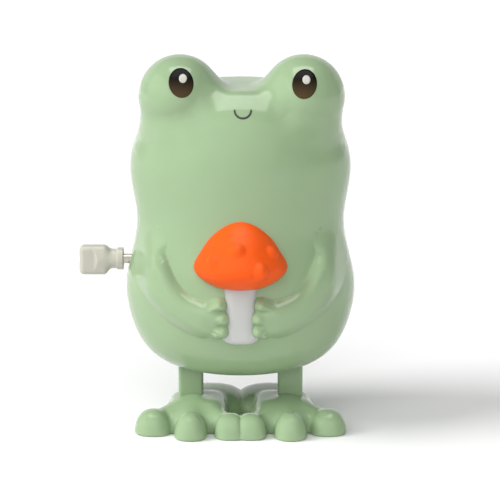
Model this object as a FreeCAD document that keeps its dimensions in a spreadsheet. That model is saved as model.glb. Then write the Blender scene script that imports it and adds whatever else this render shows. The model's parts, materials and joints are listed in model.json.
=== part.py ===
"""Wind-up jumping frog, about 75 mm tall: a moulded plastic frog that hugs a mushroom.

Two body shells meet on the plane y = 0 and hold a small clockwork gearbox. The winding key turns
an arbor on the frog's -X side. Mainspring, great wheel, second wheel and crank rock a pair of legs,
which stand on one moulding with both feet.

Millimetres, +Z up. The frog faces -Y. The origin is on the floor, under the middle of the body.
Left means the -X side, where the key is, as seen from the front.
"""

import FreeCAD
import Part

import math
import os

import Sketcher
from FreeCAD import Placement, Rotation, Vector

# Driving dimensions, which the spreadsheet holds.
DIMENSIONS = {
    # body shells
    "wall": 1.6,
    "bump_radius": 8.2,
    "bump_x": 12.2,
    "bump_y": -1.5,
    "bump_z": 66.7,
    "boss_radius": 1.5,
    "peg_radius": 0.7,
    "peg_length": 2.6,
    "peg_play": 0.05,
    "rib_half_width": 8.0,
    "rib_thickness": 1.5,
    "low_rib_z": 17.0,
    "high_rib_z": 37.0,
    "shaft_hole_radius": 1.3,
    "slot_play": 0.5,
    "slot_half_depth": 4.4,
    "slot_top": 15.0,
    # arms, as low relief on the front shell
    "arm_radius": 3.5,
    "shoulder_x": 16.6,
    "shoulder_y": -9.2,
    "shoulder_z": 38.5,
    "elbow_x": 14.6,
    "elbow_y": -12.8,
    "elbow_z": 27.2,
    "hand_x": 5.4,
    "hand_y": -16.6,
    "hand_z": 24.8,
    # mushroom
    "cap_radius": 9.6,
    "cap_y": -15.0,
    "cap_bottom": 29.3,
    "cap_rim": 34.6,
    "cap_top": 43.2,
    "stem_y": -17.2,
    "stem_bottom": 19.0,
    "stem_foot_radius": 3.7,
    "stem_neck_radius": 3.3,
    # gearbox frame
    "plate_inner": 5.9,
    "plate_thickness": 1.2,
    "plate_half_depth": 12.0,
    "plate_top": 43.0,
    "plate_hip": 19.0,
    "plate_bottom": 13.4,
    "plate_foot": 8.0,
    "pillar_radius": 1.4,
    "high_pillar_y": 10.4,
    "high_pillar_z": 41.0,
    "low_pillar_y": 7.6,
    "low_pillar_z": 15.6,
    "screw_radius": 0.5,
    "screw_length": 5.0,
    "screw_head_radius": 1.1,
    "screw_head_height": 0.6,
    "running_play": 0.05,
    # gear train, on arbors along X
    "module": 0.5,
    "great_teeth": 36,
    "second_pinion_teeth": 9,
    "second_teeth": 24,
    "crank_pinion_teeth": 8,
    "wheel_addendum": 0.25,
    "pinion_addendum": 0.5,
    "root_gap": 0.12,
    "flank_gap": 0.05,
    "great_z": 33.0,
    "great_x": -5.6,
    "great_width": 1.6,
    "second_pinion_x": -5.7,
    "second_pinion_width": 1.8,
    "second_x": 3.4,
    "second_width": 1.4,
    "sleeve_radius": 1.6,
    "crank_z": 21.0,
    "crank_pinion_x": 3.2,
    "crank_pinion_width": 1.8,
    "arbor_radius": 0.75,
    "second_arbor_end": 7.0,
    # winding
    "winding_radius": 0.95,
    "winding_left": -30.0,
    "winding_right": 7.0,
    "ratchet_teeth": 12,
    "ratchet_radius": 3.2,
    "ratchet_root": 2.5,
    "ratchet_x": -3.7,
    "ratchet_width": 1.0,
    "click_stud_radius": 0.6,
    "click_pivot_radius": 5.2,
    "spring_x": -2.2,
    "spring_width": 5.0,
    "spring_strip": 0.25,
    "spring_start": 1.0,
    "spring_pitch": 0.84,
    "spring_turns": 6,
    "spring_eye_radius": 1.05,
    "spring_post_radius": 0.7,
    "spring_post_left": -2.4,
    # winding key
    "knob_left": -32.2,
    "knob_shoulder": -26.1,
    "knob_right": -23.5,
    "knob_half_height": 2.85,
    "knob_half_depth": 1.7,
    "knob_corner": 1.2,
    "collar_radius": 2.2,
    # cranks and legs
    "crank_throw": 1.3,
    "crank_pin_radius": 0.7,
    "crank_disc_radius": 2.5,
    "crank_disc_x": 7.4,
    "crank_disc_width": 1.2,
    "crank_pin_end": 11.8,
    "leg_inner": 7.5,
    "leg_outer": 12.5,
    "leg_half_depth": 3.0,
    "leg_bottom": 3.0,
    "leg_shoulder": 17.0,
    "head_inner": 9.0,
    "head_outer": 12.0,
    "head_radius": 5.2,
    "window_radius": 3.5,
    "pivot_z": 14.8,
    "pivot_radius": 0.9,
    "pivot_end": 13.1,
    "washer_x": 12.6,
    "washer_radius": 1.7,
    "washer_width": 0.4,
    # feet
    "foot_x": 10.0,
    "instep_wide": 7.4,
    "instep_deep": 7.6,
    "instep_high": 7.3,
    "toe_high": 5.2,
    "toe_deep": 4.0,
    "toe_neck_wide": 2.8,
    "toe_neck_high": 4.2,
    "toe_neck_overlap": 1.5,
    "heel_x": 6.6,
    "heel_y": 5.6,
    "heel_wide": 7.0,
    "heel_deep": 9.0,
    "heel_high": 4.6,
    "web_half_width": 6.0,
    "web_half_length": 10.0,
    "web_high": 1.2,
    "sole_sink": 0.1,
}

# Body outline: name of the level, height, half width and half depth of its ellipse.
LEVELS = [
    ("base", 11.0, 12.0, 9.5),
    ("floor", 12.6, 15.2, 12.4),
    ("haunch", 17.0, 19.4, 16.0),
    ("hip", 22.0, 21.8, 18.2),
    ("belly", 28.6, 22.7, 19.0),
    ("chest", 36.0, 21.5, 18.4),
    ("neck", 42.0, 20.5, 17.4),
    ("cheek", 52.0, 22.0, 17.4),
    ("brow", 60.5, 20.6, 16.2),
    ("temple", 66.0, 17.4, 13.2),
    ("crown", 69.3, 12.5, 8.6),
]

# Toes: name, x and y of the middle of the ball at the tip, half width of the ball.
TOES = [
    ("outer", 17.4, -11.0, 3.6),
    ("middle", 9.9, -14.6, 3.6),
    ("inner", 2.7, -14.0, 2.9),
]

ALONG_X = Rotation(90, 0, 90)       # local X, Y, Z point along Y, Z, X
ALONG_Y = Rotation(Vector(1, 0, 0), -90)
SIDES = (("left", -1), ("right", 1))
FAR = 60.0                          # reaches past the whole frog

doc = FreeCAD.newDocument("jumping_frog")
sheet = doc.addObject("Spreadsheet::Sheet", "dims")


def fill_sheet():
    """Put every driving dimension and the place of the second arbor in the spreadsheet."""
    cells = dict(DIMENSIONS)
    for name, height, half_width, half_depth in LEVELS:
        cells[name + "_z"] = height
        cells[name + "_wide"] = half_width
        cells[name + "_deep"] = half_depth
    module = cells["module"]
    to_great = module * (cells["great_teeth"] + cells["second_pinion_teeth"]) / 2
    to_crank = module * (cells["second_teeth"] + cells["crank_pinion_teeth"]) / 2
    apart = cells["great_z"] - cells["crank_z"]
    above_crank = (to_crank ** 2 - to_great ** 2 + apart ** 2) / (2 * apart)
    cells["second_y"] = round(math.sqrt(to_crank ** 2 - above_crank ** 2), 4)
    cells["second_z"] = round(cells["crank_z"] + above_crank, 4)
    for row, (alias, number) in enumerate(cells.items(), start=1):
        sheet.set("A%d" % row, alias)
        sheet.set("B%d" % row, str(number))
        sheet.setAlias("B%d" % row, alias)
    doc.recompute()


fill_sheet()


def value(expression):
    """Return what an expression over the sheet's cells comes to."""
    return float(sheet.evalExpression(expression))


def bind(item, **sizes):
    """Bind properties of an object to expressions over the sheet."""
    for name, expression in sizes.items():
        item.setExpression(name, expression)


def place(item, x="0", y="0", z="0"):
    """Bind the place of an object to expressions over the sheet."""
    item.setExpression(".Placement.Base.x", x)
    item.setExpression(".Placement.Base.y", y)
    item.setExpression(".Placement.Base.z", z)
    return item


# Primitives and booleans

def block(label, low, high):
    """Box between two corners, each three expressions."""
    item = doc.addObject("Part::Box", label)
    for side, start, end in zip(("Length", "Width", "Height"), low, high):
        item.setExpression(side, "(%s) - (%s)" % (end, start))
    return place(item, *low)


def rod_x(label, radius, left, right, y="0", z="0"):
    """Cylinder along X."""
    item = doc.addObject("Part::Cylinder", label)
    item.Placement = Placement(Vector(), ALONG_X)
    bind(item, Radius=radius, Height="(%s) - (%s)" % (right, left))
    return place(item, left, y, z)


def rod_y(label, radius, front, back, x, z):
    """Cylinder along Y."""
    item = doc.addObject("Part::Cylinder", label)
    item.Placement = Placement(Vector(), ALONG_Y)
    bind(item, Radius=radius, Height="(%s) - (%s)" % (back, front))
    return place(item, x, front, z)


def ellipsoid(label, wide, deep, high, x, y, z, turn=Rotation()):
    """Ellipsoid with three half axes, along X, Y and Z before its turn."""
    item = doc.addObject("Part::Ellipsoid", label)
    item.Placement = Placement(Vector(), turn)
    bind(item, Radius1=high, Radius2=wide, Radius3=deep)
    return place(item, x, y, z)


def fuse(label, *pieces):
    item = doc.addObject("Part::MultiFuse", label)
    item.Shapes = list(pieces)
    return item


def cut(label, base, *tools):
    item = doc.addObject("Part::Cut", label)
    item.Base = base
    item.Tool = tools[0] if len(tools) == 1 else fuse(label + "_tools", *tools)
    return item


def common(label, base, tool):
    item = doc.addObject("Part::Common", label)
    item.Base = base
    item.Tool = tool
    return item


# Sketches

def sketch_on(body, name, role, offset="0"):
    """Empty sketch on one of a body's own origin planes, moved along the plane's normal."""
    sketch = body.newObject("Sketcher::SketchObject", name)
    plane = next(item for item in body.Origin.OriginFeatures if item.Role == role)
    sketch.AttachmentSupport = [(plane, "")]
    sketch.MapMode = "FlatFace"
    sketch.setExpression(".AttachmentOffset.Base.z", offset)
    return sketch


def pin_point(sketch, geometry, point, u, v):
    """Hold a sketch point at a place given by two expressions."""
    for kind, expression in (("DistanceX", u), ("DistanceY", v)):
        distance = value(expression)
        index = sketch.addConstraint(
            Sketcher.Constraint(kind, -1, 1, geometry, point, distance))
        if distance:
            sketch.setExpression("Constraints[%d]" % index, expression)


def draw_circle(sketch, u, v, radius):
    centre = Vector(value(u), value(v), 0)
    index = sketch.addGeometry(Part.Circle(centre, Vector(0, 0, 1), value(radius)), False)
    pin_point(sketch, index, 3, u, v)
    size = sketch.addConstraint(Sketcher.Constraint("Radius", index, value(radius)))
    sketch.setExpression("Constraints[%d]" % size, radius)


def draw_polygon(sketch, corners):
    """Closed outline through corners, each two expressions."""
    points = [Vector(value(u), value(v), 0) for u, v in corners]
    count = len(corners)
    first = sketch.GeometryCount
    for index in range(count):
        line = Part.LineSegment(points[index], points[(index + 1) % count])
        sketch.addGeometry(line, False)
    for index in range(count):
        following = first + (index + 1) % count
        sketch.addConstraint(Sketcher.Constraint("Coincident", first + index, 2, following, 1))
    for index, (u, v) in enumerate(corners):
        pin_point(sketch, first + index, 1, u, v)


def pad(body, name, sketch, length, midplane=False):
    item = body.newObject("PartDesign::Pad", name)
    item.Profile = sketch
    item.Midplane = midplane
    item.setExpression("Length", length)
    return item


# Body shells and mushroom

def body_loft(label, inset):
    """Body outline as a loft of ellipses, drawn in by an inset on every side."""
    rings = []
    for name, *_ in LEVELS:
        ring = doc.addObject("Part::Ellipse", label + "_" + name)
        bind(ring, MajorRadius="dims.%s_wide - %s" % (name, inset),
             MinorRadius="dims.%s_deep - %s" % (name, inset))
        middle = "(dims.base_z + dims.crown_z) / 2"
        shrink = "(1 - 2 * %s / (dims.crown_z - dims.base_z))" % inset
        place(ring, z="%s + (dims.%s_z - %s) * %s" % (middle, name, middle, shrink))
        rings.append(ring)
    loft = doc.addObject("Part::Loft", label)
    loft.Sections = rings
    loft.Solid = True
    return loft


def eye_bumps(label, inset):
    bumps = []
    for side, sign in SIDES:
        bump = doc.addObject("Part::Sphere", "%s_%s" % (label, side))
        bump.setExpression("Radius", "dims.bump_radius - %s" % inset)
        place(bump, "%d * dims.bump_x" % sign, "dims.bump_y", "dims.bump_z")
        bumps.append(bump)
    return bumps


def arm(side, sign):
    """Upper arm and forearm, each an ellipsoid whose long axis joins two joints."""
    limbs = []
    for name, start, end in (("upper_arm", "shoulder", "elbow"), ("forearm", "elbow", "hand")):
        ends = []
        for joint in (start, end):
            ends.append(Vector(*(value("dims.%s_%s" % (joint, axis)) for axis in "xyz")))
            ends[-1].x *= sign
        along = ends[1] - ends[0]
        turn = Rotation(Vector(0, 0, 1), along)
        middle = ["(dims.%s_%s + dims.%s_%s) / 2" % (start, axis, end, axis) for axis in "xyz"]
        reach = along.Length / 2
        limbs.append(ellipsoid(
            "%s_%s" % (side, name), "dims.arm_radius", "dims.arm_radius",
            "%.3f + dims.arm_radius * 0.75" % reach,
            "%d * (%s)" % (sign, middle[0]), middle[1], middle[2], turn))
    return limbs


def shell_bosses():
    """Bosses at the seam: label, x and z of each."""
    return [("%s_%s" % (side, height), "%.1f" % (sign * x), "%.1f" % z)
            for side, sign in SIDES
            for height, x, z in (("low", 17.6, 25.0), ("middle", 16.6, 45.0), ("high", 9.0, 61.5))]


def body_shells():
    """Front and back shells, split on y = 0, with pegs in sockets at the seam."""
    outside = fuse("outside", body_loft("outer_form", "0"), *eye_bumps("bump", "0"))
    inside = fuse("inside", body_loft("inner_form", "dims.wall"),
                  *eye_bumps("bump_hollow", "dims.wall"))
    skin = cut("skin", outside, inside)

    supports = []
    for name, x, z in shell_bosses():
        supports.append(rod_y("boss_" + name, "dims.boss_radius", "-20", "20", x, z))
    for level in ("low", "high"):
        for face, near, far in (("front", "-dims.plate_half_depth", "-20"),
                                ("back", "dims.plate_half_depth", "20")):
            low, high = sorted((near, far), key=value)
            supports.append(block(
                "%s_%s_rib" % (level, face),
                ("-dims.rib_half_width", low, "dims.%s_rib_z" % level),
                ("dims.rib_half_width", high, "dims.%s_rib_z + dims.rib_thickness" % level)))
    inner_parts = common("supports", fuse("support_blanks", *supports), outside)
    whole = fuse("whole_shell", skin, inner_parts)

    openings = [rod_x("shaft_hole", "dims.shaft_hole_radius", "-30", "-12", z="dims.great_z")]
    for side, sign in SIDES:
        near = "%d * (dims.leg_inner - dims.slot_play)" % sign
        far = "%d * (dims.leg_outer + dims.slot_play)" % sign
        low, high = sorted((near, far), key=value)
        openings.append(block(side + "_leg_slot", (low, "-dims.slot_half_depth", "0"),
                              (high, "dims.slot_half_depth", "dims.slot_top")))
    opened = cut("opened_shell", whole, *openings)

    front_space = block("front_space", (str(-FAR), str(-FAR), "0"), (str(FAR), "0", "90"))
    back_space = block("back_space", (str(-FAR), "0", "0"), (str(FAR), str(FAR), "90"))
    sockets = []
    pegs = []
    for name, x, z in shell_bosses():
        sockets.append(rod_y("socket_" + name, "dims.peg_radius + dims.peg_play",
                             "-dims.peg_length - 0.3", "1", x, z))
        pegs.append(rod_y("peg_" + name, "dims.peg_radius", "-dims.peg_length", "1", x, z))
    front_half = cut("front_half", common("front_blank", opened, front_space), *sockets)
    arms = arm("left", -1) + arm("right", 1)
    relief = cut("arm_relief", fuse("arms", *arms), inside)
    front = fuse("front_shell", front_half, relief)
    back = fuse("back_shell", common("back_blank", opened, back_space), *pegs)
    return (outside, relief), front, back


def seat(blank, label, behind):
    """Cut a blank by each thing behind it in turn, so that it sits flush on them."""
    for number, tool in enumerate(behind, start=1):
        name = label if number == len(behind) else "%s_cut_%d" % (label, number)
        blank = cut(name, blank, tool)
    return blank


def mushroom(behind):
    """Cap and stem, both seated on the belly and between the hands."""
    domes = []
    for name, angles, end in (("under", (-90, 0), "dims.cap_rim - dims.cap_bottom"),
                              ("upper", (0, 90), "dims.cap_top - dims.cap_rim")):
        dome = ellipsoid("cap_" + name, "dims.cap_radius", "dims.cap_radius", end,
                         "0", "dims.cap_y", "dims.cap_rim")
        dome.Angle1 = angles[0]
        dome.Angle2 = angles[1]
        domes.append(dome)
    cap_blank = fuse("cap_blank", *domes)
    cap = seat(cap_blank, "mushroom_cap", behind)

    cone = doc.addObject("Part::Cone", "stem_blank")
    bind(cone, Radius1="dims.stem_foot_radius", Radius2="dims.stem_neck_radius",
         Height="dims.cap_rim - dims.stem_bottom")
    place(cone, y="dims.stem_y", z="dims.stem_bottom")
    stem = seat(cone, "mushroom_stem", (cap_blank,) + behind)
    return cap, stem


# Gearbox frame

def plate_outline():
    """Corners of a side plate in the YZ plane, wide at the top and narrow at the foot."""
    half = [("dims.plate_half_depth", "dims.plate_top"),
            ("dims.plate_half_depth", "dims.plate_hip"),
            ("dims.plate_foot", "dims.plate_bottom")]
    return half + [("-" + u, v) for u, v in reversed(half)]


def pillar_places():
    return [("%s * dims.%s_pillar_y" % (sign, level), "dims.%s_pillar_z" % level)
            for level in ("low", "high") for sign in ("-1", "1")]


ARBORS = [
    ("0", "dims.great_z", "dims.winding_radius + dims.running_play"),
    ("dims.second_y", "dims.second_z", "dims.arbor_radius + dims.running_play"),
    ("0", "dims.crank_z", "dims.arbor_radius + dims.running_play"),
    ("0", "dims.pivot_z", "dims.pivot_radius"),
]


def gearbox_plate(label, offset, holes):
    """Side plate with its arbor holes; holes are more circles, as u, v and radius."""
    body = doc.addObject("PartDesign::Body", label)
    outline = sketch_on(body, label + "_outline", "YZ_Plane", offset)
    draw_polygon(outline, plate_outline())
    for u, v, radius in ARBORS + holes:
        draw_circle(outline, u, v, radius)
    pad(body, label + "_pad", outline, "dims.plate_thickness")
    return body


def spring_post_place():
    """The post stands just outside the spring's last turn, straight above its arbor."""
    radius = "(%s + dims.spring_eye_radius)" % SPRING_OUTSIDE
    return "0", "dims.great_z + %s - dims.spring_strip / 2" % radius


SPRING_OUTSIDE = ("(dims.spring_start + dims.spring_pitch * dims.spring_turns"
                  " + dims.spring_strip)")


def gearbox():
    post_y, post_z = spring_post_place()
    screw_holes = [(u, v, "dims.screw_radius") for u, v in pillar_places()]
    left = gearbox_plate("gearbox_left_plate", "-dims.plate_inner - dims.plate_thickness",
                         screw_holes)
    right = gearbox_plate("gearbox_right_plate", "dims.plate_inner",
                          [(post_y, post_z, "dims.spring_post_radius")])
    pillars = sketch_on(right, "pillars", "YZ_Plane", "-dims.plate_inner")
    for u, v in pillar_places():
        draw_circle(pillars, u, v, "dims.pillar_radius")
    pad(right, "pillar_pad", pillars, "2 * dims.plate_inner")
    pilots = sketch_on(right, "pilot_holes", "YZ_Plane", "-dims.plate_inner")
    for u, v in pillar_places():
        draw_circle(pilots, u, v, "dims.screw_radius")
    pilot_cut = right.newObject("PartDesign::Pocket", "pilot_pocket")
    pilot_cut.Profile = pilots
    pilot_cut.Reversed = True
    pilot_cut.setExpression("Length", "dims.screw_length")

    outer_face = "(-dims.plate_inner - dims.plate_thickness)"
    screws = []
    for number, (u, v) in enumerate(pillar_places(), start=1):
        shank = rod_x("screw_shank_%d" % number, "dims.screw_radius", outer_face,
                      "-dims.plate_inner + dims.screw_length - 0.4", u, v)
        head = rod_x("screw_head_%d" % number, "dims.screw_head_radius",
                     outer_face + " - dims.screw_head_height", outer_face, u, v)
        screws.append(fuse("screw_%d" % number, shank, head))
    screw_group = doc.addObject("Part::Compound", "gearbox_screws")
    screw_group.Links = screws

    post = rod_x("spring_post", "dims.spring_post_radius", "dims.spring_post_left",
                 "dims.plate_inner + dims.plate_thickness", post_y, post_z)
    pivot = rod_x("leg_pivot_shaft", "dims.pivot_radius", "-dims.pivot_end", "dims.pivot_end",
                  "0", "dims.pivot_z")
    washers = []
    for side, sign in SIDES:
        low, high = sorted(("%d * dims.washer_x" % sign,
                            "%d * (dims.washer_x + dims.washer_width)" % sign), key=value)
        disc = rod_x(side + "_washer_disc", "dims.washer_radius", low, high, "0", "dims.pivot_z")
        hole = rod_x(side + "_washer_hole", "dims.pivot_radius", "%s - 1" % low, "%s + 1" % high,
                     "0", "dims.pivot_z")
        washers.append(cut(side + "_washer", disc, hole))
    washer_pair = doc.addObject("Part::Compound", "pivot_washers")
    washer_pair.Links = washers
    return [left, right, screw_group, post, pivot, washer_pair]


# Gears

def polar(radius, angle):
    return Vector(radius * math.cos(angle), radius * math.sin(angle), 0)


def involute_angle(base_radius, radius):
    """Angle that an involute has turned through where it crosses a radius."""
    pressure = math.acos(min(1.0, base_radius / radius))
    return math.tan(pressure) - pressure


def gear_solid(teeth, addendum, mating_addendum, width):
    """Spur gear on local Z, with a tooth centred on local X.

    The flanks are involutes of a 20 degree gear, each drawn as the arc through three of its
    points, and thinned so that a meshed pair has play. Below the base circle they run radially.
    """
    pitch_radius = value("dims.module") * teeth / 2
    base_radius = pitch_radius * math.cos(math.radians(20))
    tip_radius = pitch_radius + addendum
    root_radius = pitch_radius - mating_addendum - value("dims.root_gap")
    half_tooth = math.pi / (2 * teeth) - value("dims.flank_gap") / pitch_radius
    half_tooth += involute_angle(base_radius, pitch_radius)
    start_radius = max(base_radius, root_radius)
    radii = (start_radius, (start_radius + tip_radius) / 2, tip_radius)
    half_angles = [half_tooth - involute_angle(base_radius, radius) for radius in radii]

    edges = []
    pitch_angle = 2 * math.pi / teeth
    for index in range(teeth):
        centre = index * pitch_angle
        rising = [polar(r, centre - a) for r, a in zip(radii, half_angles)]
        falling = [polar(r, centre + a) for r, a in zip(radii, half_angles)][::-1]
        root_start = polar(root_radius, centre - half_angles[0])
        root_end = polar(root_radius, centre + half_angles[0])
        next_root = polar(root_radius, centre + pitch_angle - half_angles[0])
        if root_radius < start_radius:
            edges.append(Part.LineSegment(root_start, rising[0]).toShape())
        edges.append(Part.Arc(*rising).toShape())
        edges.append(Part.Arc(rising[-1], polar(tip_radius, centre), falling[0]).toShape())
        edges.append(Part.Arc(*falling).toShape())
        if root_radius < start_radius:
            edges.append(Part.LineSegment(falling[-1], root_end).toShape())
        valley = polar(root_radius, centre + pitch_angle / 2)
        edges.append(Part.Arc(root_end, valley, next_root).toShape())
    return Part.Face(Part.Wire(edges)).extrude(Vector(0, 0, width))


def meshing_phase(driver_phase, driver_teeth, follower_teeth, direction):
    """Phase of a gear that meshes with a driver seen from it in a given direction."""
    driver_index = (direction - driver_phase) * driver_teeth / (2 * math.pi)
    return direction + math.pi - (0.5 - driver_index) * 2 * math.pi / follower_teeth


def feature(label, shape, x=0.0, y=0.0, z=0.0):
    """Part::Feature of a shape drawn on local Z, laid along X at a place."""
    item = doc.addObject("Part::Feature", label)
    item.Shape = shape
    item.Placement = Placement(Vector(x, y, z), ALONG_X)
    return item


def bored(shape, radius, width):
    return shape.cut(Part.makeCylinder(radius, width + 2, Vector(0, 0, -1)))


def turned(shape, angle, lift=0.0):
    """Shape turned about local Z by an angle in radians, and moved along it."""
    shape.rotate(Vector(), Vector(0, 0, 1), math.degrees(angle))
    shape.translate(Vector(0, 0, lift))
    return shape


def gear_train():
    wheel_addendum = value("dims.wheel_addendum")
    pinion_addendum = value("dims.pinion_addendum")
    great_teeth = int(value("dims.great_teeth"))
    second_pinion_teeth = int(value("dims.second_pinion_teeth"))
    second_teeth = int(value("dims.second_teeth"))
    crank_pinion_teeth = int(value("dims.crank_pinion_teeth"))
    great_z = value("dims.great_z")
    second_y = value("dims.second_y")
    second_z = value("dims.second_z")
    crank_z = value("dims.crank_z")

    width = value("dims.great_width")
    great = bored(gear_solid(great_teeth, wheel_addendum, pinion_addendum, width),
                  value("dims.winding_radius + dims.running_play"), width)
    stud_radius = value("dims.click_pivot_radius")
    stud = Part.makeCylinder(value("dims.click_stud_radius"),
                             value("dims.ratchet_x + dims.ratchet_width - dims.great_x"),
                             polar(stud_radius, CLICK_ANGLE))
    great_wheel = feature("great_wheel", great.fuse(stud), value("dims.great_x"), z=great_z)

    second_phase = meshing_phase(0.0, great_teeth, second_pinion_teeth,
                                 math.atan2(second_z - great_z, second_y))
    pinion_x = value("dims.second_pinion_x")
    wheel_lift = value("dims.second_x") - pinion_x
    pinion_width = value("dims.second_pinion_width")
    wheel_width = value("dims.second_width")
    pinion = turned(gear_solid(second_pinion_teeth, pinion_addendum, wheel_addendum,
                               pinion_width), second_phase)
    wheel = turned(gear_solid(second_teeth, wheel_addendum, pinion_addendum, wheel_width),
                   0.0, wheel_lift)
    sleeve = Part.makeCylinder(value("dims.sleeve_radius"), wheel_lift)
    length = wheel_lift + wheel_width
    second = bored(pinion.fuse([sleeve, wheel]), value("dims.arbor_radius"), length)
    second_wheel = feature("second_wheel", second, pinion_x, second_y, second_z)

    crank_phase = meshing_phase(0.0, second_teeth, crank_pinion_teeth,
                                math.atan2(crank_z - second_z, -second_y))
    pinion_width = value("dims.crank_pinion_width")
    pinion = turned(gear_solid(crank_pinion_teeth, pinion_addendum, wheel_addendum,
                               pinion_width), crank_phase)
    crank_pinion = feature("crank_pinion", bored(pinion, value("dims.arbor_radius"), pinion_width),
                           value("dims.crank_pinion_x"), z=crank_z)

    end = "dims.second_arbor_end"
    second_shaft = rod_x("second_shaft", "dims.arbor_radius", "-" + end, end,
                         "dims.second_y", "dims.second_z")
    crank_end = "(dims.crank_disc_x + dims.crank_disc_width)"
    crank_shaft = rod_x("crank_shaft", "dims.arbor_radius", "-" + crank_end, crank_end,
                        z="dims.crank_z")
    return [great_wheel, second_wheel, second_shaft, crank_pinion, crank_shaft]


# Ratchet, click, mainspring and key

CLICK_ANGLE = math.radians(62)


def ratchet_and_click():
    """Saw-toothed ratchet on the arbor, and the click on the great wheel that it drives."""
    teeth = int(value("dims.ratchet_teeth"))
    tip = value("dims.ratchet_radius")
    root = value("dims.ratchet_root")
    width = value("dims.ratchet_width")
    step = 2 * math.pi / teeth
    corners = []
    for index in range(teeth):
        corners.append(polar(root, index * step))
        corners.append(polar(tip, index * step))
    ratchet = Part.Face(Part.makePolygon(corners + corners[:1])).extrude(Vector(0, 0, width))
    ratchet_wheel = feature("ratchet_wheel", bored(ratchet, value("dims.winding_radius"), width),
                            value("dims.ratchet_x"), z=value("dims.great_z"))

    pivot_radius = value("dims.click_pivot_radius")
    pivot = polar(pivot_radius, CLICK_ANGLE)
    eye_radius = 2 * value("dims.click_stud_radius")
    outline = [polar(root + 0.20, -0.09), polar(tip + 0.20, -0.03), polar(tip + 0.30, 0.25),
               polar(pivot_radius - 1.0, CLICK_ANGLE - 0.25), pivot,
               polar(pivot_radius + 0.9, CLICK_ANGLE - 0.35), polar(tip + 1.1, 0.0),
               polar(tip + 0.1, -0.20)]
    arm_plate = Part.Face(Part.makePolygon(outline + outline[:1])).extrude(Vector(0, 0, width))
    eye = Part.makeCylinder(eye_radius, width, pivot)
    stud_hole = Part.makeCylinder(value("dims.click_stud_radius"), width + 2,
                                  pivot - Vector(0, 0, 1))
    click = arm_plate.fuse(eye).cut(stud_hole)
    click_pawl = feature("click_pawl", click, value("dims.ratchet_x"), z=value("dims.great_z"))
    return ratchet_wheel, click_pawl


def mainspring():
    """Spiral strip: half turns about two centres in turn, and an eye round the spring post."""
    strip = value("dims.spring_strip")
    pitch = value("dims.spring_pitch")
    start = value("dims.spring_start")
    half_turns = 2 * int(value("dims.spring_turns"))
    width = value("dims.spring_width")
    edges = []
    for extra in (0.0, strip):
        for index in range(half_turns):
            radius = start + pitch * index / 2 + extra
            side = 1 if index % 2 == 0 else -1
            centre = Vector(0, 0 if side > 0 else pitch / 2, 0)
            top = centre + Vector(0, radius, 0)
            bottom = centre - Vector(0, radius, 0)
            middle = centre - Vector(side * radius, 0, 0)
            ends = (top, bottom) if side > 0 else (bottom, top)
            edges.append(Part.Arc(ends[0], middle, ends[1]).toShape())
    inner_start = Vector(0, start, 0)
    outer_start = Vector(0, start + strip, 0)
    last_radius = start + pitch * (half_turns - 1) / 2
    inner_end = Vector(0, pitch / 2 + last_radius, 0)
    outer_end = inner_end + Vector(0, strip, 0)
    edges.append(Part.LineSegment(inner_start, outer_start).toShape())
    edges.append(Part.LineSegment(inner_end, outer_end).toShape())
    spiral = Part.Face(Part.Wire(Part.__sortEdges__(edges))).extrude(Vector(0, 0, width))

    eye_centre = Vector(0, value(spring_post_place()[1] + " - dims.great_z"), 0)
    eye = Part.makeCylinder(value("dims.spring_eye_radius"), width, eye_centre)
    hole = Part.makeCylinder(value("dims.spring_post_radius + 0.1"), width + 2,
                             eye_centre - Vector(0, 0, 1))
    spring = spiral.fuse(eye).cut(hole)
    return feature("mainspring", spring, value("dims.spring_x"), z=value("dims.great_z"))


def winding_key():
    """Flat moulded grip with rounded corners, a round collar and a bore for the arbor."""
    body = doc.addObject("PartDesign::Body", "key_knob")
    place(body, z="dims.great_z")
    grip = sketch_on(body, "grip_outline", "XZ_Plane")
    height = "dims.knob_half_height"
    draw_polygon(grip, [("dims.knob_left", "-" + height), ("dims.knob_shoulder", "-" + height),
                        ("dims.knob_shoulder", height), ("dims.knob_left", height)])
    grip_pad = pad(body, "grip", grip, "2 * dims.knob_half_depth", midplane=True)
    doc.recompute()
    corners = ["Edge%d" % number for number, edge in enumerate(grip_pad.Shape.Edges, start=1)
               if abs(edge.tangentAt(edge.FirstParameter).y) > 0.9]
    rounding = body.newObject("PartDesign::Fillet", "grip_corners")
    rounding.Base = (grip_pad, corners)
    rounding.setExpression("Radius", "dims.knob_corner")
    collar = sketch_on(body, "collar_outline", "YZ_Plane", "dims.knob_shoulder - 0.8")
    draw_circle(collar, "0", "0", "dims.collar_radius")
    pad(body, "collar", collar, "dims.knob_right - dims.knob_shoulder + 0.8")
    bore = sketch_on(body, "bore_outline", "YZ_Plane", "dims.winding_left")
    draw_circle(bore, "0", "0", "dims.winding_radius")
    bore_cut = body.newObject("PartDesign::Pocket", "bore")
    bore_cut.Profile = bore
    bore_cut.Reversed = True
    bore_cut.setExpression("Length", "dims.knob_right - dims.winding_left + 1")
    shaft = rod_x("winding_shaft", "dims.winding_radius", "dims.winding_left",
                  "dims.winding_right", z="dims.great_z")
    return body, shaft


# Cranks, legs and feet

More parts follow.
